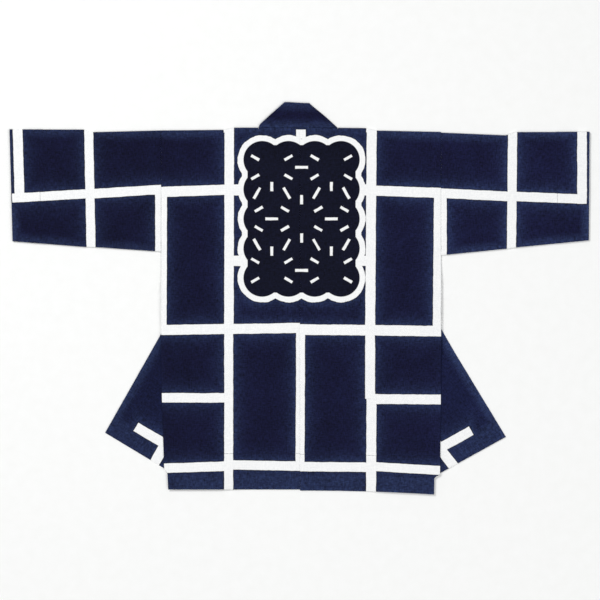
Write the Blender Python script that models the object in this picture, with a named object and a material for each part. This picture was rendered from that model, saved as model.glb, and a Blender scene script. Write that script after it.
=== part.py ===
"""A happi coat laid flat on a table, face down, with its back upwards.

The coat is cut from narrow cloth. Each half of the body is one length of cloth that runs from the
back hem over the shoulder to the front hem. The halves meet in the centre back seam. A sleeve is one
loom width, folded along its top edge. The collar is one long double band that stands above the back
neckline, folds over at both sides of the neck and runs down both fronts. Below the waist the side
seams are open, and the two fronts are swung out sideways. A flat tuck takes up the cloth there.

Sizes are in millimetres. X runs across the coat, "down" is the distance from the shoulder line
towards the hem, and Z is the height above the table. "out" is the distance from the centre back.
"""

from math import cos, pi, radians, sin, sqrt, tan

import bmesh
import bpy
import numpy as np

MM = 0.001
LENGTH_BACK = 803.0
COLLAR_WIDTH = 57.0
CUFF_OUT = 644.8

CLOTH = 1.4
BAND = 2.6
SEAM_GAP = 0.3
LAYER_AIR = 0.8
TUCK_RADIUS = 0.95
SHOULDER_PUFF = 0.6

NECK_INSET = 3.4
COLLAR_RADIUS = 1.5
COLLAR_SAG = 1.1

# The collar seam lies this far out at the waist, and the fanned front turns about a point that is
# this much nearer to the centre.
SEAM_OUT = 126.0
PIVOT_INSET = 16.0
PIVOT_OUT = SEAM_OUT - PIVOT_INSET

SIDE_COLUMNS = (
    "sign",
    "half_width",
    "neck_out",
    "shoulder_down",
    "underarm_down",
    "vent_down",
    "hem_drift",
    "hem_notch",
    "hem_down",
    "fan_angle",
    "pivot_down",
    "front_length",
    "hem_slant",
    "sleeve_top",
    "sleeve_under",
    "cuff_top_out",
    "cuff_under_out",
)
SIDE_ROWS = {
    "left": (
        -1, 308.0, 93.0, (-1.0, -0.6, 4.3, 5.5), 274.2, 455.0, 9.0, 6.5, 802.5, 29.5, 508.0, 813.5, 1.6,
        (5.5, 9.3, 3.6, 3.3), (274.2, 264.4, 261.1, 248.6), CUFF_OUT, 638.0,
    ),
    "right": (
        1, 313.0, 84.5, (-1.0, 0.4, 5.8, 8.8), 279.3, 445.0, 3.0, 12.5, 813.5, 31.2, 500.0, 838.5, -2.2,
        (8.8, 16.0, 9.2, 8.7), (279.3, 268.4, 263.4, 248.6), CUFF_OUT, 642.0,
    ),
}
SIDES = {name: dict(zip(SIDE_COLUMNS, row)) for name, row in SIDE_ROWS.items()}
# The shoulder line lies this far up from the origin, which is the middle of the whole outline.
SHOULDER_UP = (max(side["hem_down"] for side in SIDES.values()) - COLLAR_WIDTH) / 2

# The edges step a little across the dyed stripes of the body and of the sleeve. These are the places
# of the stripes, and an edge's values are at the inner end, at both sides of the stripe and at the
# outer end.
BODY_STRIPE = (146.0, 170.0)
SLEEVE_STRIPE = (457.0, 481.0)
# The side edge steps in by the notch at this height above the hem, over this length.
HEM_NOTCH_AT = 36.0
HEM_NOTCH_RUN = 14.0

# A layer follows what lies under it in soft slopes: how far off each one starts, and how long it is.
SLOPES = {
    "back_off_collar": (28.0, 40.0),
    "back_off_tuck": (26.0, 60.0),
    "back_into_gap": (34.0, 60.0),
    "back_off_front_hem": (34.0, 50.0),
    "front_off_tuck": (12.0, 50.0),
    "shoulder": (0.0, 40.0),
    "side_seam": (0.0, 26.0),
    "seam_end": (0.0, 12.0),
    "neck_sag": (0.0, 28.0),
}
# The seam's back edge sits a little early on the climb to the tuck, and so stays clear of the front.
SEAM_SPARE = 12.0

# Soft swells of the upper layer: where, which way they run, and how long, wide and high they are.
SWELL_COLUMNS = ("x", "down", "turn", "length", "width", "height")
SWELL_ROWS = (
    (-235.0, 300.0, 35.0, 110.0, 34.0, 2.4),
    (228.0, 318.0, -40.0, 120.0, 36.0, 2.2),
    (-60.0, 620.0, 80.0, 120.0, 42.0, 1.8),
    (110.0, 560.0, 100.0, 100.0, 40.0, 1.6),
    (20.0, 130.0, 8.0, 150.0, 45.0, 1.5),
    (-450.0, 130.0, 20.0, 130.0, 40.0, 2.6),
    (-560.0, 175.0, -30.0, 70.0, 32.0, 1.6),
    (430.0, 150.0, -15.0, 140.0, 42.0, 2.4),
    (565.0, 110.0, 35.0, 75.0, 34.0, 1.8),
)

HEM_ROWS = (0.0, 18.0, 31.0, 44.0, 60.0)
HEM_ZONE = 90.0
BACK_ROWS = 28
FOLD_ROWS = 6
UPPER_ROWS = 19
TUCK_ROWS = 5
LOWER_ROWS = 11
NECK_COLUMNS = 3
OUTER_COLUMNS = 5
SELVEDGE = 12.0
SLEEVE_RINGS = 5
SLEEVE_ACROSS = 9

COLLAR_ACROSS = (0.0, 0.34, 0.67, 1.0)
COLLAR_SETTLED = 50.0
# The band bends where the front swings: distance along it from the bend, and share of the turn.
BEND = ((-9.0, 0.08), (-4.5, 0.24), (-1.5, 0.42), (1.5, 0.58), (4.5, 0.76), (9.0, 0.92))
BEND_LEAD = 14.0
BEND_TAIL = 20.0
BEND_CLEARANCE = 3.2

# Ways that the right side of the cloth can face: out, down and up.
UP = (0.0, 0.0, 1.0)
DOWNWARD = (0.0, 0.0, -1.0)

INDIGO = (0.012, 0.013, 0.033, 1.0)


def smooth(value):
    """0 below 0, 1 above 1, and a soft S between."""
    clipped = np.clip(value, 0.0, 1.0)
    return clipped * clipped * (3.0 - 2.0 * clipped)


def fade(distance, slope):
    """1 up to where the slope starts, then softly down to 0."""
    start, length = SLOPES[slope]
    return 1.0 - smooth((distance - start) / length)


def swell(x, down):
    """Height that the soft swells add to the upper layer."""
    total = np.zeros(np.broadcast(x, down).shape)
    for row in SWELL_ROWS:
        s = dict(zip(SWELL_COLUMNS, row))
        turn = radians(s["turn"])
        along = (x - s["x"]) * cos(turn) + (down - s["down"]) * sin(turn)
        across = (down - s["down"]) * cos(turn) - (x - s["x"]) * sin(turn)
        total += s["height"] * np.exp(-((along / s["length"]) ** 2) - (across / s["width"]) ** 2)
    return total


def place(sign, out, down, height):
    """Points in metres, from the distance out, the distance down and the height."""
    return np.stack([sign * out * MM, (SHOULDER_UP - down) * MM, height * MM], axis=-1)


def shoulder_line(side, out):
    """How far down the folded top edge lies."""
    return np.interp(out, (0.0, *BODY_STRIPE, side["half_width"]), side["shoulder_down"])


def side_line(side, down):
    """How far out the back's side edge lies: straight to the vent, then drawn in towards the hem."""
    share = np.clip((down - side["vent_down"]) / (side["hem_down"] - side["vent_down"]), 0.0, 1.0)
    notch = side["hem_notch"] * smooth((down - side["hem_down"] + HEM_NOTCH_AT) / HEM_NOTCH_RUN + 0.5)
    return side["half_width"] - side["hem_drift"] * share**2 - notch


def seam_rows(side, start):
    """How far down the front's upper rows lie along the collar seam."""
    half = radians(side["fan_angle"]) / 2
    end = side["pivot_down"] - PIVOT_INSET * tan(half) - (pi * TUCK_RADIUS / 2) / cos(half)
    return start + (end - start) * np.linspace(0.0, 1.0, UPPER_ROWS + 1)


def seam_line(side, down):
    """How far out the seam between the front and the collar lies, above the pivot."""
    share = smooth(down / (side["pivot_down"] - 80.0))
    return side["neck_out"] + (SEAM_OUT - side["neck_out"]) * share


def fanned(side, out, below):
    """Where a point of the swung front lies, from its place in the cut: out, and below the pivot."""
    fan = radians(side["fan_angle"])
    reach = out - PIVOT_OUT
    return (
        PIVOT_OUT + reach * cos(fan) + below * sin(fan),
        side["pivot_down"] - reach * sin(fan) + below * cos(fan),
    )


def front_hem(side, out):
    """Length of the cut from the shoulder to the front hem."""
    return side["front_length"] + (side["half_width"] - out) * tan(radians(side["hem_slant"]))


def tuck_distance(side, out, down):
    """How far a place lies outside the wedge where the tuck has its three layers."""
    half_fan = radians(side["fan_angle"]) / 2
    reach = out - PIVOT_OUT
    rise = side["pivot_down"] - down
    radius = np.hypot(reach, rise)
    angle = np.arctan2(rise, reach)
    outside = radius * np.maximum(np.sin(half_fan - angle), np.sin(angle - 2 * half_fan))
    behind = np.abs(angle) > pi / 2
    return np.where(behind, radius, np.maximum(outside, 0.0))


def table_clearance(side, out, down):
    """Height of the back layer's underside above the table, over what lies beneath it."""
    fan = radians(side["fan_angle"])
    below = np.maximum(down - side["pivot_down"], 0.0)
    seam = np.where(below > 0, SEAM_OUT + below * tan(fan), seam_line(side, down))
    free = seam - COLLAR_WIDTH / cos(fan)
    collar_side = np.maximum(out - seam, 0.0)
    ridge = (BAND - CLOTH) * fade(collar_side, "back_off_collar")
    tuck = 4 * TUCK_RADIUS * fade(tuck_distance(side, out, down), "back_off_tuck")
    gap_side = (free - out) * cos(fan)
    hem_side = (out - PIVOT_OUT) * sin(fan) + (down - side["pivot_down"]) * cos(fan)
    hem_side = hem_side - (side["front_length"] - side["pivot_down"])
    covered = fade(gap_side, "back_into_gap") * fade(hem_side, "back_off_front_hem")
    return (CLOTH + LAYER_AIR + ridge + tuck) * covered


def back_height(side, out, down):
    """Height of the middle of the back layer. Along the side seam it comes down onto the front."""
    puff = SHOULDER_PUFF * fade(down, "shoulder")
    height = CLOTH / 2 + table_clearance(side, out, down) + puff + swell(side["sign"] * out, down)
    sewn = fade(side["underarm_down"] - down, "seam_end") * fade(down - side["vent_down"], "seam_end")
    sewn = sewn * fade(side["half_width"] - out, "side_seam")
    seated = front_height(side, out, down + SEAM_SPARE) + CLOTH + SEAM_GAP
    return height + (seated - height) * sewn


def front_height(side, out, down):
    """Height of the middle of the front layer: it lies on the table and climbs onto its own tuck."""
    return CLOTH / 2 + 4 * TUCK_RADIUS * fade(tuck_distance(side, out, down), "front_off_tuck")


def strip_faces(rows, columns, cells, closed=False):
    """Faces of a wall between two grids of points, one on each side of the cloth, and its rims."""
    count = rows * columns
    faces = []

    def corner(row, column, layer):
        return layer * count + row * columns + column % columns

    wide = columns if closed else columns - 1
    for row in range(rows - 1):
        for column in range(wide):
            if not cells(row, column):
                continue
            around = ((row, column), (row, column + 1), (row + 1, column + 1), (row + 1, column))
            faces.append([corner(r, c, 0) for r, c in around])
            faces.append([corner(r, c, 1) for r, c in reversed(around)])
            sides = (
                ((row, column), (row, column + 1), (row - 1, column)),
                ((row, column + 1), (row + 1, column + 1), (row, column + 1)),
                ((row + 1, column + 1), (row + 1, column), (row + 1, column)),
                ((row + 1, column), (row, column), (row, column - 1)),
            )
            for start, end, (near_row, near_column) in sides:
                inside = 0 <= near_row < rows - 1
                inside = inside and (closed or 0 <= near_column < columns - 1)
                if inside and cells(near_row, near_column % columns):
                    continue
                faces.append([corner(*end, 0), corner(*start, 0), corner(*start, 1), corner(*end, 1)])
    return faces


def add_wall(name, middle, normal, thickness, cells, closed=False):
    """A closed wall of cloth, from the points of its middle and the way its right side faces."""
    rows, columns = middle.shape[:2]
    reach = normal * (thickness / 2) * MM
    points = np.concatenate([(middle + reach).reshape(-1, 3), (middle - reach).reshape(-1, 3)])
    faces = strip_faces(rows, columns, cells, closed)
    mesh = bpy.data.meshes.new(name)
    mesh.from_pydata(points.tolist(), [], faces)
    edit = bmesh.new()
    edit.from_mesh(mesh)
    loose = [vertex for vertex in edit.verts if not vertex.link_faces]
    bmesh.ops.delete(edit, geom=loose, context="VERTS")
    bmesh.ops.recalc_face_normals(edit, faces=edit.faces)
    edit.to_mesh(mesh)
    edit.free()
    mesh.shade_smooth()
    mesh.set_sharp_from_angle(angle=radians(40))
    body = bpy.data.objects.new(name, mesh)
    bpy.context.scene.collection.objects.link(body)
    body.data.materials.append(cloth_material(name))
    return body


def cloth_material(name):
    """Plain indigo cotton."""
    material = bpy.data.materials.new(name + "_cotton")
    material.use_nodes = True
    shader = material.node_tree.nodes["Principled BSDF"]
    shader.inputs["Base Color"].default_value = INDIGO
    shader.inputs["Roughness"].default_value = 0.9
    shader.inputs["Metallic"].default_value = 0.0
    return material


class Wall:
    """Collects the rows of a wall: the middle points and the direction of the right side."""

    def __init__(self, sign):
        self.sign = sign
        self.middle = []
        self.normal = []

    def add(self, out, down, height, facing):
        """One row. facing is (out, down, up) for each of its points, or one for all."""
        out, down, height = np.broadcast_arrays(out, down, height)
        self.middle.append(place(self.sign, out, down, height))
        facing = np.broadcast_to(np.asarray(facing, float), (len(out), 3))
        self.normal.append(np.stack([self.sign * facing[:, 0], -facing[:, 1], facing[:, 2]], axis=-1))

    def grids(self):
        return np.array(self.middle), np.array(self.normal)


def body_half(name):
    """One length of cloth: back, shoulder fold, front, tuck and the swung lower front."""
    side = SIDES[name]
    wall = Wall(side["sign"])
    inner = np.linspace(SEAM_GAP / 2, side["neck_out"], NECK_COLUMNS + 1)[:-1]
    near, far = BODY_STRIPE
    edge = side["half_width"]
    rest = np.linspace(far, edge, OUTER_COLUMNS + 1)[1:-1]
    neck = side["neck_out"]
    outer = np.array([neck, (neck + near) / 2, near, far, *rest, edge - SELVEDGE, edge])
    share = (outer - side["neck_out"]) / (side["half_width"] - side["neck_out"])
    across = np.concatenate([inner, outer])

    at_fold = shoulder_line(side, across)
    fold_radius = (back_height(side, across, at_fold) - CLOTH / 2) / 2
    fold_start = at_fold + CLOTH / 2 + np.where(across < side["neck_out"] - 1, SEAM_GAP, fold_radius)
    fold_radius = (back_height(side, across, fold_start) - CLOTH / 2) / 2
    hem = LENGTH_BACK + (side["hem_down"] - LENGTH_BACK) * (across / side["half_width"]) ** 2
    steps = np.concatenate([HEM_ROWS, np.linspace(HEM_ZONE, LENGTH_BACK, BACK_ROWS)]) / LENGTH_BACK
    for step in steps:
        down = hem + (fold_start - hem) * step
        loose = np.clip((across - far) / (side["half_width"] - far), 0.0, 1.0)
        out = across - (side["half_width"] - side_line(side, down)) * loose
        wall.add(out, down, back_height(side, out, down), UP)

    for turn in np.linspace(0.0, pi, FOLD_ROWS + 1)[1:]:
        down = fold_start - fold_radius * sin(turn)
        height = CLOTH / 2 + fold_radius * (1 + cos(turn))
        wall.add(across, down, height, (0.0, -sin(turn), cos(turn)))

    add_front(wall, side, share, fold_start[NECK_COLUMNS:])
    middle, normal = wall.grids()

    def cells(row, column):
        return row < len(steps) - 1 or column >= NECK_COLUMNS

    return add_wall("body_" + name, middle, normal, CLOTH, cells)


def add_front(wall, side, share, fold_start):
    """Rows from the shoulder to the front hem, with the tuck between two creases through the pivot."""
    fan = radians(side["fan_angle"])
    half = fan / 2
    cut = SEAM_OUT + share * (side["half_width"] - SEAM_OUT)
    radius = TUCK_RADIUS
    crease = side["pivot_down"] - (cut - PIVOT_OUT) * tan(half)
    turn_start = crease - (pi * radius / 2) / cos(half)
    padding = np.zeros(NECK_COLUMNS)

    def add(out, down, height, facing=DOWNWARD):
        grown = [np.concatenate([padding + values[0], values]) for values in (out, down, height)]
        wall.add(*grown, facing)

    for seam_down in seam_rows(side, fold_start[0])[1:]:
        step = (seam_down - fold_start[0]) / (turn_start[0] - fold_start[0])
        down = fold_start + (turn_start - fold_start) * step
        seam = seam_line(side, down)
        out = seam + share * (side["half_width"] - seam)
        add(out, down, front_height(side, out, down))

    upper = CLOTH / 2 + 4 * radius
    along = np.array([cos(half), -sin(half)])
    outward = np.array([sin(half), cos(half)])
    for turn in np.linspace(0.0, pi, TUCK_ROWS + 1)[1:]:
        slide = -tan(half) * radius * turn
        shift = slide * along + radius * sin(turn) * outward
        facing = (-sin(turn) * outward[0], -sin(turn) * outward[1], -cos(turn))
        add(cut + shift[0], turn_start + shift[1], upper - radius * (1 - cos(turn)) + 0 * cut, facing)

    slide = -tan(half) * radius * pi
    back_out = cut + slide * along[0]
    back_down = turn_start + slide * along[1]
    wedge = (cut - PIVOT_OUT) * tan(half) - (pi * radius / 2) * (1 / cos(half) + 1)
    second_out = back_out - wedge * sin(fan)
    second_down = back_down - wedge * cos(fan)
    middle = upper - 2 * radius
    add(second_out, second_down, middle + 0 * cut, UP)
    for turn in np.linspace(0.0, pi, TUCK_ROWS + 1)[1:]:
        reach = -radius * sin(turn)
        facing = (-sin(turn) * sin(fan), -sin(turn) * cos(fan), cos(turn))
        out = second_out + reach * sin(fan)
        down = second_down + reach * cos(fan)
        add(out, down, middle - radius * (1 - cos(turn)) + 0 * cut, facing)

    length = front_hem(side, cut) - side["pivot_down"] - pi * radius / 2
    for step in np.linspace(0.0, 1.0, LOWER_ROWS + 1)[1:]:
        out = second_out + length * step * sin(fan)
        down = second_down + length * step * cos(fan)
        add(out, down, CLOTH / 2 + 0 * cut)


def sleeve(name):
    """A flattened tube, folded along the top and seamed under the arm, tapering to the cuff."""
    side = SIDES[name]
    wall = Wall(side["sign"])
    share = np.linspace(0.0, 1.0, SLEEVE_ACROSS + 1)
    bend = np.linspace(0.0, pi, FOLD_ROWS + 1)[1:-1]
    root = side["half_width"] + SEAM_GAP
    length = side["cuff_top_out"] - root
    marks = (0.0, *((stripe - root) / length for stripe in SLEEVE_STRIPE), 1.0)
    inner_rings = np.linspace(0.0, marks[1], SLEEVE_RINGS)
    outer_rings = np.linspace(marks[2], 1.0, SLEEVE_RINGS + 1)
    for along in (*inner_rings, *outer_rings):
        top, under = (np.interp(along, marks, side[edge]) for edge in ("sleeve_top", "sleeve_under"))
        top_radius = (CLOTH + LAYER_AIR + SHOULDER_PUFF) / 2
        under_radius = (CLOTH + LAYER_AIR) / 2
        start = top + CLOTH / 2 + top_radius
        end = under - CLOTH / 2 - under_radius
        flat = start + share * (end - start)
        cuff = side["cuff_top_out"] + share * (side["cuff_under_out"] - side["cuff_top_out"])
        out = root + along * (cuff - root)
        height = CLOTH / 2 + CLOTH + LAYER_AIR + SHOULDER_PUFF * (1.0 - smooth(share * 6))
        height = height + swell(side["sign"] * out, flat) * smooth(share * 5) * smooth((1 - share) * 5)
        ring_out = [out, np.full(len(bend), out[-1]), out[::-1], np.full(len(bend), out[0])]
        ring_down = [flat, end + under_radius * np.sin(bend)]
        ring_down += [flat[::-1], start - top_radius * np.sin(bend)]
        ring_height = [height, CLOTH / 2 + under_radius * (1 + np.cos(bend))]
        ring_height += [np.full(len(flat), CLOTH / 2), CLOTH / 2 + top_radius * (1 - np.cos(bend))]
        zero = np.zeros(len(bend))
        facing = [np.tile(UP, (len(flat), 1)), np.stack([zero, np.sin(bend), np.cos(bend)], axis=-1)]
        facing += [np.tile(DOWNWARD, (len(flat), 1))]
        facing += [np.stack([zero, -np.sin(bend), -np.cos(bend)], axis=-1)]
        wall.add(*(np.concatenate(x) for x in (ring_out, ring_down, ring_height, facing)))
    middle, normal = wall.grids()
    return add_wall("sleeve_" + name, middle, normal, CLOTH, lambda row, column: True, closed=True)


def collar_half(name):
    """Rows of the collar from the middle of the neck to one front hem."""
    side = SIDES[name]
    rows = Wall(side["sign"])
    across = COLLAR_WIDTH * np.array(COLLAR_ACROSS)
    neck = side["neck_out"] - NECK_INSET
    radius = COLLAR_RADIUS
    upper = BAND / 2 + 2 * radius
    lower = BAND / 2
    lead = pi * radius / sqrt(2)
    # The middle of the neck is half way between the two sides' neck points.
    middle_out = (side["neck_out"] - mirrored(side)["neck_out"]) / 2
    start_out = neck - across - lead
    for step in np.linspace(0.0, 1.0, 4):
        out = middle_out + step * (start_out - middle_out)
        sag = COLLAR_SAG * fade(out - middle_out, "neck_sag")
        rows.add(out, -SEAM_GAP - across, upper - sag, UP)
    for turn in np.linspace(0.0, pi, FOLD_ROWS + 1)[1:]:
        push = radius * sin(turn) / sqrt(2)
        slide = radius * turn / sqrt(2)
        facing = (sin(turn) / sqrt(2), -sin(turn) / sqrt(2), cos(turn))
        out = start_out + push + slide
        down = -SEAM_GAP - across - push + slide
        rows.add(out, down, upper - radius * (1 - cos(turn)) + 0 * across, facing)
    begin = -SEAM_GAP - across + lead
    fan = radians(side["fan_angle"])
    corner = PIVOT_INSET * tan(fan / 2)
    bend_down = side["pivot_down"] - corner
    seam_downs = [down for down in seam_rows(side, 1.0) if COLLAR_SETTLED <= down < bend_down - BEND_LEAD]
    for step in (0.34, 0.67):
        down = begin + step * (seam_downs[0] - begin)
        edge = neck + (seam_line(side, down) - SEAM_GAP - neck) * smooth(down / seam_downs[0])
        rows.add(edge - across, down, lower + 0 * across, DOWNWARD)

    for down in seam_downs:
        rows.add(seam_line(side, down) - SEAM_GAP - across, down, lower + 0 * across, DOWNWARD)
    for offset, share in BEND:
        turned = fan * share
        seam_out, seam_down = SEAM_OUT, bend_down + offset
        if offset > 0:
            seam_out, seam_down = fanned(side, SEAM_OUT, corner + offset)
        reach = across + BEND_CLEARANCE
        rows.add(
            seam_out - reach * cos(turned),
            seam_down + reach * sin(turned),
            lower + 0 * across,
            DOWNWARD,
        )
    below = front_hem(side, SEAM_OUT) - side["pivot_down"]
    for step in np.linspace(corner + BEND_TAIL, below, LOWER_ROWS - 1):
        rows.add(*fanned(side, SEAM_OUT - SEAM_GAP - across, step), lower + 0 * across, DOWNWARD)
    return rows.grids()


def mirrored(side):
    """The other side's sizes."""
    return SIDES["left" if side["sign"] > 0 else "right"]


def collar():
    """One band from hem to hem."""
    left, left_facing = collar_half("left")
    right, right_facing = collar_half("right")
    middle = np.concatenate([left[::-1], right[1:]])
    facing = np.concatenate([left_facing[::-1], right_facing[1:]])
    return add_wall("collar", middle, facing, BAND, lambda row, column: True)


def main():
    for old in list(bpy.data.objects):
        bpy.data.objects.remove(old)
    for name in SIDES:
        body_half(name)
        sleeve(name)
    collar()


main()
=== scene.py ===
# %% [markdown]
# # A happi coat, laid flat
#
# A happi is a straight festival coat of indigo cotton. Here one lies face down on a table. The
# side seams are open below the waist, and both fronts are swung out there, so their inner sides
# show. The solids of the model already hold the cut and the lay. This lesson puts finer cloth on
# the same form, and then dyes, weaves and sews it.

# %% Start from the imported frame
from functools import partial, reduce
from math import cos, hypot, pi, radians, sin, sqrt, tan
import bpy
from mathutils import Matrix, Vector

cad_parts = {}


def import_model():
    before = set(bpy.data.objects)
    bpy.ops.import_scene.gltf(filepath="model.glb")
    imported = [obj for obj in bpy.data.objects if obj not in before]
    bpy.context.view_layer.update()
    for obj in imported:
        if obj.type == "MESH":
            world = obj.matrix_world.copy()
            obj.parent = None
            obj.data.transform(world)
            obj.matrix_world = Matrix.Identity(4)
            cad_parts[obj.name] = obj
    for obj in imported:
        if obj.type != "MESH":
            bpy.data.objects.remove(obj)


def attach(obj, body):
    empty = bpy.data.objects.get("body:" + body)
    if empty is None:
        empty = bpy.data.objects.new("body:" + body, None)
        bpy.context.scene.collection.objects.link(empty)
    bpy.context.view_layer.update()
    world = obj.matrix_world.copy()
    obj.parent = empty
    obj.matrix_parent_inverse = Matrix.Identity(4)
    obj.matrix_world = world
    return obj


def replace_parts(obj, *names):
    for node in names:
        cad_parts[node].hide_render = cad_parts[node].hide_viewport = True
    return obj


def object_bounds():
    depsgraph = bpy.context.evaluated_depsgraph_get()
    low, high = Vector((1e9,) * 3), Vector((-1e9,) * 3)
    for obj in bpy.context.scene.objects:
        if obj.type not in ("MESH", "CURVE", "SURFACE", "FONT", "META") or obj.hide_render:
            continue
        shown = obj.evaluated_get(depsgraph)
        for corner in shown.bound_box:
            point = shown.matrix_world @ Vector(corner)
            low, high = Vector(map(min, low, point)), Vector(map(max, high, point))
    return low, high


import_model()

from types import SimpleNamespace

import bpy
import numpy as np

MM = 0.001
CAD_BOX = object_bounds()
print("the solids reach from", list(CAD_BOX[0]), "to", list(CAD_BOX[1]))

# %% [markdown]
# ## Sizes of the cut and of the lay
#
# A tailor thinks of a coat in two ways: as a cut, the flat shape of each length of cloth, and as a
# lay, where that cloth ends up on the table. Both are in millimetres. "x" runs across the coat,
# "out" is the distance from the centre back, and "down" the distance below the shoulder line.
# The two sides differ a little.

# %% Sizes shared by both sides
COLLAR_WIDTH = 57
SEAM_GAP = 0.3
LAYER = 2.2
TUCK_RADIUS = 0.95
SEAM_OUT = 126
SEAM_EASED = 80
PIVOT_INSET = 16
PIVOT_OUT = SEAM_OUT - PIVOT_INSET
BODY_STRIPE = (146, 170)
SLEEVE_STRIPE = (457, 481)
HEM_NOTCH_AT = 41
HEM_NOTCH_RUN = 7
FAR = 1000

# %% Sizes that differ from side to side, as (left, right)
SIDE_TABLE = {
    "sign": (-1, 1),
    "edge": (308, 313),
    "neck": (93, 84.5),
    "shoulder_down": ((-1, -0.6, 4.3, 5.5), (-1, 0.4, 5.8, 8.8)),
    "underarm": (274.2, 279.3),
    "vent": (455, 445),
    "hem_drift": (9, 3),
    "hem_notch": (6.5, 12.5),
    "hem_centre": (802.4, 804.8),
    "hem": (802.5, 813.5),
    "fan": (29.5, 31.2),
    "pivot": (508, 500),
    "front": (813.5, 838.5),
    "hem_slant": (1.6, -2.2),
    "front_in": (0.2, 2.4),
    "sleeve_top": ((5.5, 9.3, 3.6, 3.3), (10.4, 16.4, 9.2, 8.7)),
    "sleeve_under": ((275, 265, 264.6, 251.8), (283, 268.8, 265.6, 249.8)),
    "cuff_top": (644.8, 642.6),
    "cuff_under": (638, 641),
    "lean": ((1.3, 3.4, 5, 7, 2.4, 0), (-4.4, -1.7, 0.3, 1.6, 1.6, 0)),
    "front_bars": ((53, 128.5, 47, 0), (59.5, 138, 49.6, 8.4)),
}
SIDES = {
    name: SimpleNamespace(**{size: pair[place] for size, pair in SIDE_TABLE.items()})
    for place, name in enumerate(("left", "right"))
}
SHOULDER_UP = SIDES["right"].hem + CAD_BOX[0][1] / MM
print("shoulder line at y =", round(SHOULDER_UP, 2), "mm")

# %% [markdown]
# ## The cloth and its hems
#
# The coat is sewn from one sturdy plain-woven cotton. Its hems and cuffs are turned in deep, so
# the cloth is two plies there and the turned ply shows through as a low step. The open sides
# below the waist have a narrow turned hem.

# %% Thicknesses
CLOTH = 1.2
BAND = 2.4
HEM_PLY = 0.6
HEM_DEEP = 81
CUFF_DEEP = 72
print("cloth", CLOTH, "mm, at a hem", CLOTH + HEM_PLY, "mm, collar band", BAND, "mm")

# %% [markdown]
# ## Soft slopes and creases
#
# Laid cloth has no sharp steps. Over the collar or a tuck it climbs in a soft S, so one function
# gives that S and a table says where each slope starts and how long it is. Hem steps and wear
# fade in the same way. Cloth that was folded and then smoothed keeps low swells and short
# creases, listed in two tables.

# %% Slopes, as (start, run)
SLOPES = {
    "back_off_collar": (28, 40),
    "back_off_tuck": (26, 60),
    "back_into_gap": (34, 60),
    "back_off_front_hem": (34, 50),
    "front_off_tuck": (12, 50),
    "shoulder": (0, 40),
    "side_seam": (0, 26),
    "seam_end": (0, 12),
    "neck_sag": (0, 28),
    "hem_ply": (HEM_DEEP, 3),
    "cuff_ply": (CUFF_DEEP, 3),
    "vent_ply": (11, 9),
    "wear": (0, 26),
    "back_hem_wear": (34, 12),
    "front_hem_wear": (34, 24),
}


def smooth(value):
    """0 below 0, 1 above 1, and between them 3t^2 - 2t^3, a soft S."""
    clipped = np.clip(value, 0, 1)
    return clipped * clipped * (3 - 2 * clipped)


def fade(distance, slope):
    """1 up to where the slope starts, then softly down to 0 over its run."""
    start, run = SLOPES[slope]
    return 1 - smooth((distance - start) / run)


# %% Creases, as (x, down, turn in degrees, length, width, height)
# The first nine are wide swells, which are in the solids too.
CREASES = (
    (-235, 300, 35, 110, 34, 2.4), (228, 318, -40, 120, 36, 2.2), (-60, 620, 80, 120, 42, 1.8),
    (110, 560, 100, 100, 40, 1.6), (20, 130, 8, 150, 45, 1.5), (-450, 130, 20, 130, 40, 2.6),
    (-560, 175, -30, 70, 32, 1.6), (430, 150, -15, 140, 42, 2.4), (565, 110, 35, 75, 34, 1.8),
    (-285, 285, 52, 46, 7, 0.9), (-268, 322, 38, 60, 9, 0.7), (-300, 60, 78, 42, 8, 0.6),
    (-246, 470, 14, 64, 10, 0.7), (-190, 690, 64, 58, 9, 0.5), (-84, 470, -22, 70, 11, 0.6),
    (-40, 735, 12, 60, 9, 0.5), (70, 500, 28, 74, 11, 0.6), (128, 690, -58, 60, 10, 0.6),
    (236, 640, -24, 66, 10, 0.6), (272, 300, -44, 58, 8, 0.9), (250, 345, -30, 66, 9, 0.7),
    (300, 70, -76, 40, 8, 0.6), (-345, 235, -28, 44, 8, 0.9), (-390, 196, -18, 60, 10, 0.6),
    (-420, 60, 12, 56, 9, 0.5), (-540, 90, 66, 48, 9, 0.6), (-600, 215, 20, 34, 8, 0.5),
    (352, 238, 30, 46, 8, 0.9), (398, 204, 16, 58, 10, 0.6), (520, 200, -58, 46, 9, 0.6),
    (470, 56, -8, 54, 9, 0.5), (612, 60, 74, 36, 8, 0.5),
)
FRONT_CREASES = (
    (-340, 560, 58, 60, 12, 0.9), (-386, 640, 40, 46, 10, 0.8), (-330, 680, 20, 44, 12, 0.7),
    (352, 570, -56, 66, 12, 0.9), (400, 650, -36, 50, 10, 0.8), (340, 690, -24, 42, 12, 0.7),
)


def creases(table, x, down):
    """Each crease is a long bell: height * exp(-(along / length)^2 - (across / width)^2)."""
    total = np.zeros(np.broadcast(x, down).shape)
    for at_x, at_down, degrees, length, width, height in table:
        turn = radians(degrees)
        right, below = x - at_x, down - at_down
        along = (right * cos(turn) + below * sin(turn)) / length
        across = (below * cos(turn) - right * sin(turn)) / width
        total += height * np.exp(-(along**2) - across**2)
    return total


print(len(CREASES + FRONT_CREASES), "swells and creases")

# %% [markdown]
# ## Where the edges lie
#
# The shoulder fold, the side edges and the collar seam are nearly straight, but each has small
# steps and drifts. The fronts turn about one point near the collar, the pivot, like a fan. Above
# it they are straight, and below it they lie at the fan's angle.

# %% Edge lines


def shoulder_line(side, out):
    """Straight runs between four points: it steps down across the stripe."""
    return np.interp(out, (0, *BODY_STRIPE, side.edge), side.shoulder_down)


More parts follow.
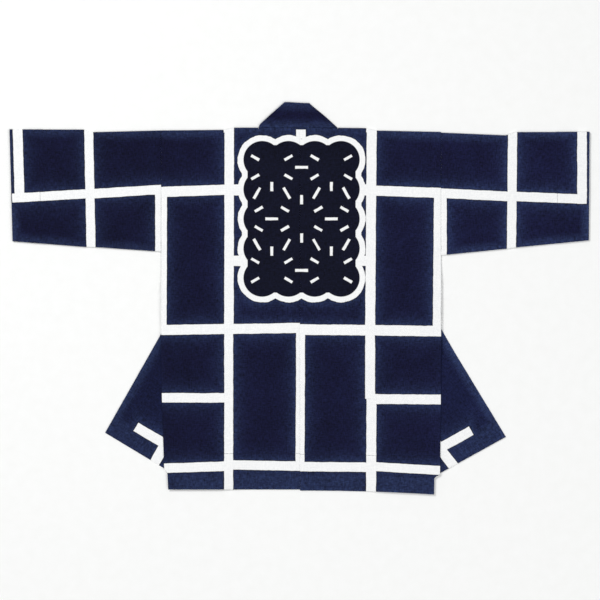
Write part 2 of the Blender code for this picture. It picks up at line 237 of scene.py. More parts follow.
def side_line(side, down):
    """Straight to the vent, then in with the square of the distance, less a notch at the hem."""
    share = np.clip((down - side.vent) / (side.hem - side.vent), 0, 1)
    notch = side.hem_notch * smooth((down - side.hem + HEM_NOTCH_AT) / HEM_NOTCH_RUN + 0.5)
    return side.edge - side.hem_drift * share**2 - notch


def seam_line(side, down):
    """The collar seam leaves the neck point and eases outwards in a soft S."""
    share = smooth(down / (side.pivot - SEAM_EASED))
    return side.neck + (SEAM_OUT - side.neck) * share


def fanned(side, out, below):
    """The cut's own place (out, below the pivot), turned about the pivot by the fan's angle."""
    fan = radians(side.fan)
    reach = out - PIVOT_OUT
    return (
        PIVOT_OUT + reach * cos(fan) + below * sin(fan),
        side.pivot - reach * sin(fan) + below * cos(fan),
    )


def front_hem(side, out):
    """Length of the cut from the shoulder to the front hem, along a slanted line."""
    return side.front + (side.edge - out) * tan(radians(side.hem_slant))


def tuck_distance(side, out, down):
    """Distance to the wedge of three layers: 0 in it, else to its nearer edge, or behind it to the pivot."""
    half_fan = radians(side.fan) / 2
    reach = out - PIVOT_OUT
    rise = side.pivot - down
    radius = np.hypot(reach, rise)
    angle = np.arctan2(rise, reach)
    outside = radius * np.maximum(np.sin(half_fan - angle), np.sin(angle - 2 * half_fan))
    return np.where(np.abs(angle) > pi / 2, radius, np.maximum(outside, 0))


print("half the hem:", [round(float(side_line(side, side.hem)), 1) for side in SIDES.values()])

# %% [markdown]
# ## How high each layer lies
#
# The fronts and the collar lie on the table. The back lies over them: one layer up in most
# places, a little more over the thick collar, and three layers up over the tuck that takes up the
# cloth where a front swings out. Between the collar bands nothing is under it, so it sinks.

# %% Heights
SHOULDER_PUFF = 0.6
SEAM_SPARE = 12


def front_climb(side, out, down):
    """The front lies on the table and climbs onto its own tuck."""
    return 4 * TUCK_RADIUS * fade(tuck_distance(side, out, down), "front_off_tuck")


def back_underside(side, out, down):
    """A sum of slopes: one layer, the collar's ridge and the tuck, less where nothing lies beneath."""
    fan = radians(side.fan)
    below = np.maximum(down - side.pivot, 0)
    seam = np.where(below > 0, SEAM_OUT + below * tan(fan), seam_line(side, down))
    free = seam - COLLAR_WIDTH / cos(fan)
    ridge = (BAND - CLOTH) * fade(np.maximum(out - seam, 0), "back_off_collar")
    tuck = 4 * TUCK_RADIUS * fade(tuck_distance(side, out, down), "back_off_tuck")
    hem_side = (out - PIVOT_OUT) * sin(fan) + (down - side.pivot) * cos(fan) + side.pivot - side.front
    covered = fade((free - out) * cos(fan), "back_into_gap") * fade(hem_side, "back_off_front_hem")
    height = (LAYER + ridge + tuck) * covered + SHOULDER_PUFF * fade(down, "shoulder")
    height = height + creases(CREASES, side.sign * out, down)
    sewn = fade(side.underarm - down, "seam_end") * fade(down - side.vent, "seam_end")
    sewn = sewn * fade(side.edge - out, "side_seam")
    seated = front_climb(side, out, down + SEAM_SPARE) + CLOTH + SEAM_GAP
    return height + (seated - height) * sewn


# %% [markdown]
# ## What sewing does to the cloth
#
# At a seam both edges turn down into it, so a fine groove shows, and the thread draws the cloth
# up into small soft puckers beside it. They tell the eye that the coat is sewn, not printed.

# %% Grooves and puckers
ROLL = 0.75
ROLL_RUN = 1.3
PUCKER = 0.32
PUCKER_RUN = 9
PUCKER_WAVES = (17, 29, 47)


def groove(distance):
    """How far the edge turns down into its seam: it falls off exponentially from the seam."""
    return ROLL * np.exp(-np.abs(distance) / ROLL_RUN)


def pucker(distance, along):
    """Three sine waves of different lengths along the seam, dying away from it."""
    waves = sum(np.sin(2 * pi * along / length + length) for length in PUCKER_WAVES) / 3
    return PUCKER * (0.5 + 0.5 * waves) * np.exp(-np.abs(distance) / PUCKER_RUN)


# %% [markdown]
# ## A skin round a sheet
#
# Every piece of cloth is a grid of points on the middle of the cloth. To give it a wall, each
# point is moved half the thickness both ways along the cloth's normal, and the rim is closed with
# a rounded edge, because an edge of cotton is never knife-sharp. The places in the cut go along
# as a UV map in metres, so a dyed pattern follows the cloth wherever it lies.

# %% Helpers for grids


def unit(vectors):
    """Vectors divided by their lengths."""
    return vectors / np.maximum(np.linalg.norm(vectors, axis=-1, keepdims=True), 1e-12)


def world(x, down, height):
    """Places in metres from millimetres across, down and up."""
    return np.stack(np.broadcast_arrays(x, SHOULDER_UP - down, height), axis=-1) * MM


def stacked(parts):
    """Each kind of grid in the parts, one part below the other."""
    return [np.concatenate(grids) for grids in zip(*(np.broadcast_arrays(*part) for part in parts))]


def grid_normals(points, cells):
    """Each point's normal is the mean of the normals of the cells that meet there."""
    along = points[1:, :-1] - points[:-1, :-1] + points[1:, 1:] - points[:-1, 1:]
    across = points[:-1, 1:] - points[:-1, :-1] + points[1:, 1:] - points[1:, :-1]
    face = unit(np.cross(along, across)) * cells[..., None]
    rows, columns = cells.shape
    normal = np.zeros_like(points)
    for row, column in ((0, 0), (0, 1), (1, 0), (1, 1)):
        normal[row : row + rows, column : column + columns] += face
    return unit(normal)


def rim_edges(cells, corners):
    """(start, end) of each edge that has a cell on one side only, the cell to its left."""
    ringed = np.pad(cells, 1)
    beside = (ringed[1:-1, :-2], ringed[2:, 1:-1], ringed[1:-1, 2:], ringed[:-2, 1:-1])
    pairs = [corners[cells & ~beside[edge]][:, [edge, (edge + 1) % 4]] for edge in range(4)]
    return np.concatenate(pairs).T


# %% The skin
RIM_ANGLES = (50, 17, -17, -50)
RIM_ROUND = 0.8


def skin(name, points, thick, cut, wear, cells=True, rounding=RIM_ROUND):
    """Two sides at plus and minus half the thickness, joined by a rim whose section is an arc."""
    rows, columns = points.shape[:2]
    cells = np.broadcast_to(cells, (rows - 1, columns - 1))
    normal = grid_normals(points, cells).reshape(-1, 3)
    flat = points.reshape(-1, 3)
    half = np.broadcast_to(thick, (rows, columns)).reshape(-1, 1) * MM / 2
    ids = np.arange(rows * columns).reshape(rows, columns)
    corners = np.stack([ids[:-1, :-1], ids[1:, :-1], ids[1:, 1:], ids[:-1, 1:]], axis=-1)
    start, end = rim_edges(cells, corners)

    outward = np.zeros_like(flat)
    lean = unit(np.cross(flat[end] - flat[start], normal[start]))
    for corner in (start, end):
        np.add.at(outward, corner, lean)
    outward = unit(outward)
    inset = flat - outward * half * rounding

    rim = [half * (outward * rounding * cos(turn) + normal * sin(turn)) for turn in map(radians, RIM_ANGLES)]
    places = [inset + away for away in (normal * half, *rim, -normal * half)]
    rings = len(flat) * np.arange(len(places))
    faces = [corners[cells], corners[cells][:, ::-1] + rings[-1]]
    for upper, lower in zip(rings[:-1], rings[1:]):
        faces.append(np.stack([upper + start, lower + start, lower + end, upper + end], axis=1))
    cut = np.tile(cut.reshape(-1, 2), (len(places), 1))
    wear = np.tile(np.broadcast_to(wear, (rows, columns)).ravel(), len(places))
    return finish_mesh(name, np.concatenate(places), np.concatenate(faces), cut, wear)


def finish_mesh(name, places, faces, cut, wear):
    """Keeps the used points, and stores the cut's places, in metres, as the UV map, and the wear."""
    used, faces = np.unique(faces, return_inverse=True)
    faces = faces.reshape(-1, 4)
    mesh = bpy.data.meshes.new(name)
    mesh.from_pydata(places[used].tolist(), [], faces.tolist())
    layer = mesh.uv_layers.new(name="cut")
    layer.data.foreach_set("uv", (cut[used] * MM)[faces.ravel()].ravel())
    mesh.attributes.new("wear", "FLOAT", "POINT").data.foreach_set("value", wear[used])
    mesh.shade_smooth()
    print(name, "has", len(faces), "faces")
    return shown(name, mesh)


def shown(name, data):
    """A new object in the scene, at the origin."""
    made = bpy.data.objects.new(name, data)
    bpy.context.scene.collection.objects.link(made)
    return made


# %% [markdown]
# ## The two halves of the body
#
# One width of cloth makes each half: it goes from the back hem up the back, folds over the
# shoulder and goes down to the front hem. So the mesh is one long grid too, with a notch at the
# neck. Below the waist the grid zigzags through the flat tuck, whose two creases meet at the
# pivot, and comes out turned by the fan's angle.

# %% Columns and rows
GRID = 4
FINE_REACH = 12
SEAM_COLUMNS = (0.06, 1.1, 2.4, 4.5, 8)
EDGE_COLUMNS = (8, 4.5, 2.4, 1.1, 0)
FOLD_TURNS = np.linspace(0, pi, 13)[1:, None]
TUCK_TURNS = np.linspace(0, pi, 9)[:, None]
BACK_ROWS = 200
UPPER_ROWS = 110
LOWER_ROWS = 82


def body_columns(side):
    """(distances out, number of them inside the neck), finer beside the seams."""
    neck, edge = side.neck, side.edge
    inner = np.linspace(FINE_REACH, neck, int(neck / GRID) - 2)[:-1]
    outer = np.linspace(neck, edge - FINE_REACH, int((edge - neck) / GRID) - 2)
    across = np.concatenate([SEAM_COLUMNS, inner, outer, edge - np.array(EDGE_COLUMNS)])
    return across, len(SEAM_COLUMNS) + len(inner)


# %% The back of one half
FOLD_RUN = 3
FOLD_WEAR = 0.8


def back_rows(side, across):
    """Grid from the hem to the shoulder fold: out, down, height of the middle, thickness and wear."""
    edge, stripe = side.edge, BODY_STRIPE[1]
    in_neck = across < side.neck - 1
    at_fold = shoulder_line(side, across)
    radius = back_underside(side, across, at_fold) / 2
    start = at_fold + CLOTH / 2 + np.where(in_neck, SEAM_GAP, radius)
    radius = back_underside(side, across, start) / 2
    hem = side.hem_centre + (side.hem - side.hem_centre) * (across / edge) ** 2

    down = hem + (start - hem) * np.linspace(0, 1, BACK_ROWS + 1)[:, None]
    loose = np.clip((across - stripe) / (edge - stripe), 0, 1)
    out = across - (edge - side_line(side, down)) * loose
    vent_side = np.where(down > side.vent, side_line(side, down) - out, FAR)
    plies = np.maximum(fade(hem - down, "hem_ply"), 0.5 * fade(vent_side, "vent_ply"))
    thick = CLOTH + HEM_PLY * plies
    height = back_underside(side, out, down)
    armhole = np.where(down < side.underarm - SLOPES["seam_end"][1], edge - out, FAR)
    neckline = np.where(in_neck, down - start, FAR)
    for distance, along in ((out, down), (armhole, down), (neckline, out)):
        height = height + pucker(distance, along) - groove(distance)
    settled = smooth(down / FOLD_RUN + 0.7)
    height = np.maximum(height, 0) * settled + 2 * radius * (1 - settled)
    wear = np.maximum.reduce([
        fade(hem - down, "wear"),
        0.78 * fade(hem - down, "back_hem_wear"),
        0.08 * fade(vent_side, "wear"),
        FOLD_WEAR * fade(down - start, "wear"),
    ])
    return out, down, height + thick / 2, thick, wear, start, radius


# %% The front of one half, with its tuck


def front_rows(side, share, start):
    """Grids from the shoulder to the front hem, as for the back, and the columns' places in the cut."""
    fan = radians(side.fan)
    half = fan / 2
    radius = TUCK_RADIUS
    cut = SEAM_OUT + share * (side.edge - SEAM_OUT)
    crease = side.pivot - (cut - PIVOT_OUT) * tan(half)
    turn_start = crease - (pi * radius / 2) / cos(half)

    down = start + (turn_start - start) * np.linspace(0, 1, UPPER_ROWS + 1)[1:, None]
    seam = seam_line(side, down)
    out = seam + share * (side.edge - seam)
    parts = [(out, down, CLOTH / 2 + front_climb(side, out, down), CLOTH, 0)]

    # The first crease turns the cloth down from the upper layer of the tuck to its middle layer.
    upper = CLOTH / 2 + 4 * radius
    turn = TUCK_TURNS[1:]
    slide = -tan(half) * radius * turn
    first_out = cut + slide * cos(half) + radius * np.sin(turn) * sin(half)
    first_down = turn_start - slide * sin(half) + radius * np.sin(turn) * cos(half)
    parts.append((first_out, first_down, upper - radius * (1 - np.cos(turn)), CLOTH, 0))

    # The middle layer runs back to the second crease, which turns it down to the lower layer.
    wedge = (cut - PIVOT_OUT) * tan(half) - (pi * radius / 2) * (1 / cos(half) + 1)
    second_out = first_out[-1] - wedge * sin(fan)
    second_down = first_down[-1] - wedge * cos(fan)
    reach = -radius * np.sin(TUCK_TURNS)
    height = upper - 2 * radius - radius * (1 - np.cos(TUCK_TURNS))
    parts.append((second_out + reach * sin(fan), second_down + reach * cos(fan), height, CLOTH, 0))

    length = front_hem(side, cut) - side.pivot - pi * radius / 2
    step = np.linspace(0, 1, LOWER_ROWS + 1)[1:, None]
    to_hem, to_edge = length * (1 - step), side.edge - cut
    vent_ply = 0.5 * fade(to_edge, "vent_ply") * smooth(step * 6)
    thick = CLOTH + HEM_PLY * np.maximum(fade(to_hem, "hem_ply"), vent_ply)
    drawn_in = side.front_in * share * smooth(step * 2.5)
    out = second_out + length * step * sin(fan) - drawn_in * cos(fan)
    down = second_down + length * step * cos(fan) + drawn_in * sin(fan)
    bare = smooth((out - side_line(side, down) - 4) / 16)
    relief = creases(FRONT_CREASES, side.sign * out, down) * bare
    wear = np.maximum(0.65 * fade(to_hem, "front_hem_wear"), fade(to_edge, "wear"))
    parts.append((out, down, thick / 2 + relief, thick, wear))
    return stacked(parts), cut


# %% One whole half


def body_half(name):
    """Stacks the back, the fold and the front into one grid, and measures the cut along it."""
    side = SIDES[name]
    across, neck_columns = body_columns(side)
    *back, start, radius = back_rows(side, across)
    turned = start - radius * np.sin(FOLD_TURNS)
    rolled = CLOTH / 2 + radius * (1 + np.cos(FOLD_TURNS))
    fold = np.broadcast_arrays(across, turned, rolled, CLOTH, FOLD_WEAR)
    share = (across[neck_columns:] - side.neck) / (side.edge - side.neck)
    front, cut = front_rows(side, share, start[neck_columns:])
    front = [np.pad(grid, ((0, 0), (neck_columns, 0)), "edge") for grid in front]
    out, down, height, thick, wear = stacked((back, fold, front))
    points = world(side.sign * out, down, height)

    first = len(back[0]) - 1
    run = np.cumsum(np.linalg.norm(np.diff(points[first:], axis=0), axis=-1) / MM, axis=0)
    run = run * np.pad(front_hem(side, cut), (neck_columns, 0), "edge") / run[-1]
    front_out = np.broadcast_to(np.concatenate([across[:neck_columns], cut]), front[0].shape)
    cut_out = np.concatenate([back[0], fold[0], front_out])
    places = np.stack([side.sign * cut_out, np.concatenate([back[1], -run])], axis=-1)
    cells = np.ones((len(points) - 1, len(across) - 1), bool)
    cells[first:, :neck_columns] = False
    piece = skin("body_cloth_" + name, points, thick, places, wear, cells)
    return piece, points, places


# %% Make both halves
BODIES = {name: body_half(name) for name in SIDES}

# %% [markdown]
# ## Sleeves
#
# A sleeve is one width of cloth, wrapped round the arm. So its grid runs from the underarm seam
# up the back layer, round the top fold, and back along the layer on the table. Both long edges
# turn in towards each other at the seam. It tapers to the cuff, with a small step at the stripe.

# %% One sleeve
SLEEVE_ACROSS = 66
SLEEVE_RINGS = 88
SLEEVE_FIRST_RINGS = (1.2, 3, 6)
TOP_LIFT = 0.6
TOP_RADIUS = (LAYER + TOP_LIFT) / 2
UNDER_RADIUS = LAYER / 2
SEAM_TURN = np.radians([60, 30])
TOP_TURN = np.linspace(0, pi, 13)[1:-1]
SLEEVE_RIM_ROUND = 0.5


def sleeve(name):
    """Rings along the arm; each ring is a half turn, a flat run, a fold, a flat run and a half turn."""
    side = SIDES[name]
    root = side.edge + SEAM_GAP
    length = side.cuff_top - root
    marks = (0, *((stripe - root) / length for stripe in SLEEVE_STRIPE), 1)
    along = [np.linspace(0, 1, SLEEVE_RINGS + 1), np.array(SLEEVE_FIRST_RINGS) / length, marks]
    along = np.unique(np.concatenate(along))[:, None]
    top = np.interp(along, marks, side.sleeve_top)
    under = np.interp(along, marks, side.sleeve_under)
    start = top + CLOTH / 2 + TOP_RADIUS
    end = under - CLOTH / 2 - UNDER_RADIUS

    share = np.linspace(1, 0, SLEEVE_ACROSS + 1)
    off_under, off_top = smooth((1 - share) * 5), smooth(share * 5)
    flat = start + share * (end - start)
    turned = end + UNDER_RADIUS * np.sin(SEAM_TURN)
    folded = start - TOP_RADIUS * np.sin(TOP_TURN)
    down = np.concatenate([turned, flat, folded, flat[:, ::-1], turned[:, ::-1]], axis=1)
    slant = (side.cuff_under - side.cuff_top) / (under - top)
    cuff = side.cuff_top + (down - top) * slant
    out = root + along * (cuff - root)
    x = side.sign * out

    upper = slice(len(SEAM_TURN), len(SEAM_TURN) + len(share))
    upper_x, rooted = x[:, upper], out[:, upper] - root
    relief = creases(CREASES, upper_x, flat) * off_top * off_under
    relief = relief + pucker(rooted, flat + 8) - groove(rooted)
    relief = relief + pucker(under - flat, upper_x) * off_under
    lift = TOP_LIFT * (1 - smooth(share * 6))
    heights = (
        UNDER_RADIUS * (1 + np.cos(SEAM_TURN)) + 0 * along,
        LAYER + lift + relief,
        TOP_RADIUS * (1 + np.cos(TOP_TURN)) + 0 * along,
        0 * flat,
        UNDER_RADIUS * (1 - np.cos(SEAM_TURN[::-1])) + 0 * along,
    )
    thick = CLOTH + HEM_PLY * fade(cuff - out, "cuff_ply")
    points = world(x, down, np.concatenate(heights, axis=1) + thick / 2)
    lower = np.arange(down.shape[1]) > down.shape[1] // 2
    cut = np.stack([x, np.where(lower, -down, down)], axis=-1)
    folds = FOLD_WEAR * np.maximum(fade(down - top, "wear"), fade(under - down, "wear"))
    wear = np.maximum(fade(cuff - out, "wear"), folds)
    piece = skin("sleeve_cloth_" + name, points, thick, cut, wear, rounding=SLEEVE_RIM_ROUND)
    return piece, points, cut


# %% Make both sleeves
SLEEVES = {name: sleeve(name) for name in SIDES}

# %% [markdown]
# ## The collar
#
# The collar is one long band, doubled. Behind the neck it lies flat above the back neckline. At
# each side it is folded over at 45 degrees, which gives the slanted corners, and runs down the
# front, under the back. Where the front swings out, the band bends with it.

# %% The band
NECK_INSET = 3.4
COLLAR_COLUMNS = 20
NECK_ROWS = 20
SLANT_ROWS = 16
STRAIGHT_ROWS = 100
FAN_ROWS = 72
COLLAR_RADIUS = 1.5
COLLAR_SAG = 1.1
COLLAR_SETTLED = 50
# Each row's distance from the middle of the bend, and how far it has turned.
BEND = ((-9, 0.08), (-4.5, 0.24), (-1.5, 0.42), (1.5, 0.58), (4.5, 0.76), (9, 0.92))
BEND_LEAD = 20
BEND_CLEARANCE = 3.2
LEAN_DOWN = (-57, -40, -29, -7, 0, 24)
COLLAR_DROP = 2.2


def collar_half(name):
    """Rows from the middle of the neck to one front hem. At the neck each side leans a little."""
    side = SIDES[name]
    across = COLLAR_WIDTH * np.linspace(0, 1, COLLAR_COLUMNS)
    neck = side.neck - NECK_INSET
    radius = COLLAR_RADIUS
    upper, lower = BAND / 2 + 2 * radius, BAND / 2
    lead = pi * radius / sqrt(2)
    middle = side.neck - sum(each.neck for each in SIDES.values()) / 2
    first = neck - across - lead
    out = middle + np.linspace(0, 1, NECK_ROWS)[:, None] * (first - middle)
    parts = [(out, -SEAM_GAP - across, upper - COLLAR_SAG * fade(out - middle, "neck_sag"))]
    push = radius * np.sin(FOLD_TURNS) / sqrt(2)
    slide = radius * FOLD_TURNS / sqrt(2)
    height = upper - radius * (1 - np.cos(FOLD_TURNS))
    parts.append((first + push + slide, -SEAM_GAP - across - push + slide, height))
    begin = -SEAM_GAP - across + lead
    down = begin + np.linspace(0, 1, SLANT_ROWS)[1:, None] * (COLLAR_SETTLED - begin)
    edge = neck + (seam_line(side, down) - SEAM_GAP - neck) * smooth(down / COLLAR_SETTLED)
    parts.append((edge - across, down, lower))

    fan = radians(side.fan)
    corner = PIVOT_INSET * tan(fan / 2)
    bend = side.pivot - corner
    down = np.linspace(COLLAR_SETTLED, bend - BEND_LEAD, STRAIGHT_ROWS)[1:, None]
    parts.append((seam_line(side, down) - SEAM_GAP - across, down, lower))
    offset, share = np.array(BEND).T[..., None]
    straight = (SEAM_OUT + 0 * offset, bend + offset)
    seam = np.where(offset > 0, fanned(side, SEAM_OUT, corner + offset), straight)
    reach = across + BEND_CLEARANCE
    parts.append((seam[0] - reach * np.cos(fan * share), seam[1] + reach * np.sin(fan * share), lower))
    hem = front_hem(side, SEAM_OUT) - side.pivot
    below = np.linspace(corner + BEND_LEAD, hem, FAN_ROWS)[:, None]
    parts.append((*fanned(side, SEAM_OUT - SEAM_GAP - across, below), lower))
    out, down, height = stacked(parts)
    lean = np.interp(down, LEAN_DOWN, side.lean) * smooth(out / 30)
    x = side.sign * (out + lean)
    dropped = COLLAR_DROP * smooth((x + 30) / 50) * smooth(-down / COLLAR_WIDTH)
    return world(x, down + dropped, height)


# %% Both halves end to end: the cut's places are the distance across and the run along the band
left, right = collar_half("left"), collar_half("right")
points = np.concatenate([left[::-1], right[1:]])
steps = np.linalg.norm(np.diff(points[:, COLLAR_COLUMNS // 2], axis=0), axis=1)
run = np.concatenate([[0], np.cumsum(steps)]) / MM
across = np.linspace(0, COLLAR_WIDTH, COLLAR_COLUMNS)
cut = np.stack(np.broadcast_arrays(across, (run - run[len(left) - 1])[:, None]), axis=-1)
wear = FOLD_WEAR * np.maximum(fade(across, "wear"), fade(COLLAR_WIDTH - across, "wear"))
COLLAR = skin("collar_cloth", points, BAND, cut, wear)
print("the collar band is", round(run[-1]), "mm long")

# %% [markdown]
# ## Sewing
#
# The hems and cuffs are stitched down by machine with dark thread, which only shows where a row
# crosses a white stripe. Each stitch is a small spindle that dives into the cloth at both ends,
# and a row is one array of them.

# %% Rows of stitches
STITCH_PITCH = 3
STITCH_LONG = 2.6
STITCH_WIDE = 0.8
STITCH_FLAT = 0.8
STITCH_SIDES = 6
# Each ring's share of half the length, its share of the width, and its lift.
STITCH_RINGS = ((-1, 0.25, -0.45), (-0.55, 0.9, 0.05), (0, 1, 0.16), (0.55, 0.9, 0.05), (1, 0.25, -0.45))


def stitch_row(path):
    """Spindles of round sections: a circle at each ring, whose centre dips at the spindle's ends."""
    run = np.concatenate([[0], np.cumsum(np.linalg.norm(np.diff(path, axis=0), axis=1))])
    at = np.arange(STITCH_PITCH / 2, run[-1] / MM, STITCH_PITCH) * MM
    behind, place, ahead = (
        np.stack([np.interp(at + shift * MM, run, path[:, axis]) for axis in range(3)], axis=1)
        for shift in (-0.5, 0, 0.5)
    )
    forward = unit(ahead - behind)
    aside = unit(np.cross((0, 0, 1), forward))
    up = np.cross(forward, aside)
    turn = 2 * pi * np.arange(STITCH_SIDES)[:, None, None] / STITCH_SIDES
    circle = aside * np.cos(turn) + up * np.sin(turn) * STITCH_FLAT
    rings = []
    for along, wide, lift in STITCH_RINGS:
        centre = place + forward * (along * STITCH_LONG / 2 * MM) + up * (lift * MM)
        rings.append(centre + circle * (wide * STITCH_WIDE / 2 * MM))
    return np.concatenate(rings).transpose(1, 0, 2)


def stitching(name, paths):
    """All the spindles in one mesh: quads from ring to ring, and a cap at each end."""
    spindles = np.concatenate([stitch_row(path) for path in paths])
    count, corners = spindles.shape[:2]
    ring = np.arange(STITCH_SIDES)
    beside = (ring + 1) % STITCH_SIDES
    low = np.arange(0, corners - STITCH_SIDES, STITCH_SIDES)[:, None]
    high = low + STITCH_SIDES
    quads = np.stack([low + ring, low + beside, high + beside, high + ring], axis=-1).reshape(-1, 4)
    caps = np.stack([ring[::-1], ring + corners - STITCH_SIDES])
    first = corners * np.arange(count)[:, None, None]
    faces = [face for kind in (quads, caps) for face in (first + kind).reshape(-1, kind.shape[1]).tolist()]
    mesh = bpy.data.meshes.new(name)
    mesh.from_pydata(spindles.reshape(-1, 3).tolist(), [], faces)
    mesh.shade_smooth()
    print(name, "has", count, "stitches")
    return shown(name, mesh)


# %% Where the rows run
HEM_ROW = 2
CUFF_COLUMN = 30


def row_at(points, levels, level, columns):
    """The grid's row whose own level is the nearest one, raised onto the face of the cloth."""
    row = np.argmin(np.abs(levels - level))
    return points[row, columns] + np.array([0, 0, (CLOTH + HEM_PLY) / 2 * MM])


def body_rows(name):
    """The back hem and the front hem."""
    side = SIDES[name]
    _, points, places = BODIES[name]
    back = (side.hem_centre - HEM_DEEP + HEM_ROW, 0)
    front = (HEM_DEEP - HEM_ROW - side.front, body_columns(side)[1])
    rows = []
    for level, first in (back, front):
        middle = (first + points.shape[1]) // 2
        rows.append(row_at(points, places[:, middle, 1], level, slice(first, None)))
    return rows


def cuff_rows(name):
    """Across the cuff's upper layer, from the underarm seam to just over the top fold."""
    _, points, places = SLEEVES[name]
    level = SIDES[name].cuff_top - CUFF_DEEP + HEM_ROW
    upper = slice(0, SLEEVE_ACROSS + 4)
    return [row_at(points, np.abs(places[:, CUFF_COLUMN, 0]), level, upper)]


STITCHES = [stitching("stitches_body_" + name, body_rows(name)) for name in SIDES]
STITCHES.append(stitching("stitches_cuffs", cuff_rows("left") + cuff_rows("right")))

# %% [markdown]
# ## Colours
#
# A hex colour is what the eye sees on a screen, and the shader wants linear light, so one
# function turns the one into the other.

# %% Colours


def linear(code):
    """Each channel c of the hex code becomes ((c + 0.055) / 1.055)^2.4, or c / 12.92 where it is dark."""
    channels = np.array([int(code[start : start + 2], 16) for start in (1, 3, 5)]) / 255
    light = np.where(channels > 0.04045, ((channels + 0.055) / 1.055) ** 2.4, channels / 12.92)
    return (*light.tolist(), 1)


NAVY = linear("#11122e")
NAVY_THIN = linear("#293558")
NAVY_INSIDE = linear("#151a39")
DYE_LINE = linear("#0a0a1c")
SOOT = linear("#0f1122")
UNDYED = linear("#fbfbfa")
UNDYED_SHADE = linear("#e4e6ea")
THREAD = linear("#14152c")
print("navy in linear light:", [round(channel, 4) for channel in NAVY[:3]])

# %% [markdown]
# ## One small function for nodes
#
# A material is a tree of nodes. One function adds a node: its settings are properties, and its
# inputs are numbers, or sockets and nodes to link. A node stands for its first output in use.

# %% Add a node


def fill(node, inputs):
    """Sets or links a node's inputs, in their order or by name or number."""
    for key, value in inputs.items() if isinstance(inputs, dict) else enumerate(inputs):
        if isinstance(value, bpy.types.Node):
            value = next(output for output in value.outputs if output.enabled)
        if isinstance(value, bpy.types.NodeSocket):
            node.id_data.links.new(value, node.inputs[key])
        else:
            node.inputs[key].default_value = value


def add_node(tree, kind, inputs=(), **settings):
    """A new node with its settings and inputs. "Math.ADD" is a Math node whose operation is ADD."""
    kind, _, operation = kind.partition(".")
    made = tree.nodes.new("ShaderNode" + kind)
    if operation:
        made.operation = operation
    for setting, value in settings.items():
        setattr(made, setting, value)
    fill(made, inputs)
    return made


def new_material(name):
    """A material, its shader, and the function above for its tree."""
    material = bpy.data.materials.new(name)
    material.use_nodes = True
    tree = material.node_tree
    print("material", name)
    return material, tree.nodes["Principled BSDF"], partial(add_node, tree)


# %% [markdown]
# ## The white lines
#
# The lines are undyed cotton: rice paste was laid on before the dyeing, and it kept the indigo
# out. A line is a straight bar, so its edge can be found as a distance: how far a place lies
# outside the bar, along it or across it, whichever is more. Noise is added to the distance to the
# nearest bar, because paste never leaves a ruler's edge, and the same distance also tells how
# thin the dye is beside the line.

# %% Bars of the body, as (from x, from down, to x, to down, width)
CENTRE_BARS = ((1.3, 450, 0, 745, 19.7), (2, 3.8, 2, 24, 21.2))
BACK_BARS = {
    "left": (
        (-156.9, -6, -157.7, 448, 20.8), (-158, 448, -158.4, 830, 19.6),
        (-330, 448.6, 4, 443.8, 22.2), (-330, 598.9, -158, 598.9, 20.8),
        (-330, 756, -158, 750.2, 20.9), (-158, 747.6, 4, 750.4, 20.6),
        (-330, 143, -158, 136.8, 22.5), (-158, 137.6, -128, 137.6, 24.4),
        (-158, 295, -118, 295, 22.6), (-301.7, 142, -302.5, 447, 13),
    ),
    "right": (
        (159.2, -6, 155.6, 448, 21.8), (155.6, 448, 155.4, 601, 21.8),
        (158.6, 601, 157.5, 835, 21.8), (-4, 447.2, 335, 451.2, 23.2),
        (157, 601.6, 335, 602.6, 21.6), (157, 751, 340, 761.6, 19.6),
        (-4, 751.4, 157, 752.8, 20.8), (157, 138.7, 335, 145.3, 22.2),
        (124, 137.6, 157, 137.6, 24.4), (118, 295, 157, 295, 22.6),
        (306.6, 142, 303.8, 449, 18.4),
    ),
}

# %% Bars of the fronts, which are worked out from the cut
FRONT_BAR_WIDE = 21.4
FRONT_STRIPE_WIDE = 22.4


def front_bars(name):
    """The front's lines: a bar above the hem, a long stripe, and the lines that meet the back's."""
    side = SIDES[name]
    edge, wide = side.edge, FRONT_STRIPE_WIDE
    bar_in, stripe_in, bar_up, lean = side.front_bars
    end, stripe = edge - bar_in, edge - stripe_in
    upper, lower = stripe - lean / 2, stripe + lean / 2
    hem = -front_hem(side, stripe)
    waist = -(side.vent - 8)
    bars = (
        (end, bar_up - front_hem(side, end), stripe - FRONT_BAR_WIDE / 2, bar_up + hem, FRONT_BAR_WIDE),
        (upper, hem + 66, lower, hem - 8, wide),
        (upper, waist, upper, hem + 66, wide),
        (158, 10, upper, waist, wide),
        (edge + 20, waist, 90, waist, wide),
        (edge + 20, -143, 60, -137, wide),
        (edge - 7, -143, edge - 7, waist, 13),
    )
    return tuple((side.sign * bar[0], bar[1], side.sign * bar[2], *bar[3:]) for bar in bars)


# %% Bars of the sleeves, from |x| and |down|, because both layers are dyed alike
SLEEVE_BARS = {
    "left": (
        (290, 135.1, 467, 146.8, 20.7), (467, 145.9, 639, 155.6, 20),
        (469.2, -10, 463.2, 290, 19.8), (627, -10, 622, 164.6, 21.6),
        (314.5, 137, 314.5, 300, 13.6),
    ),
    "right": (
        (290, 143.8, 471, 152.3, 21.1), (471, 151.7, 636, 158.2, 20.7),
        (472, -10, 469, 290, 20.2), (625.8, -10, 625.8, 168.4, 21.1),
        (318.7, 145, 318.7, 300, 13.8),
    ),
}

# %% A bar as nodes


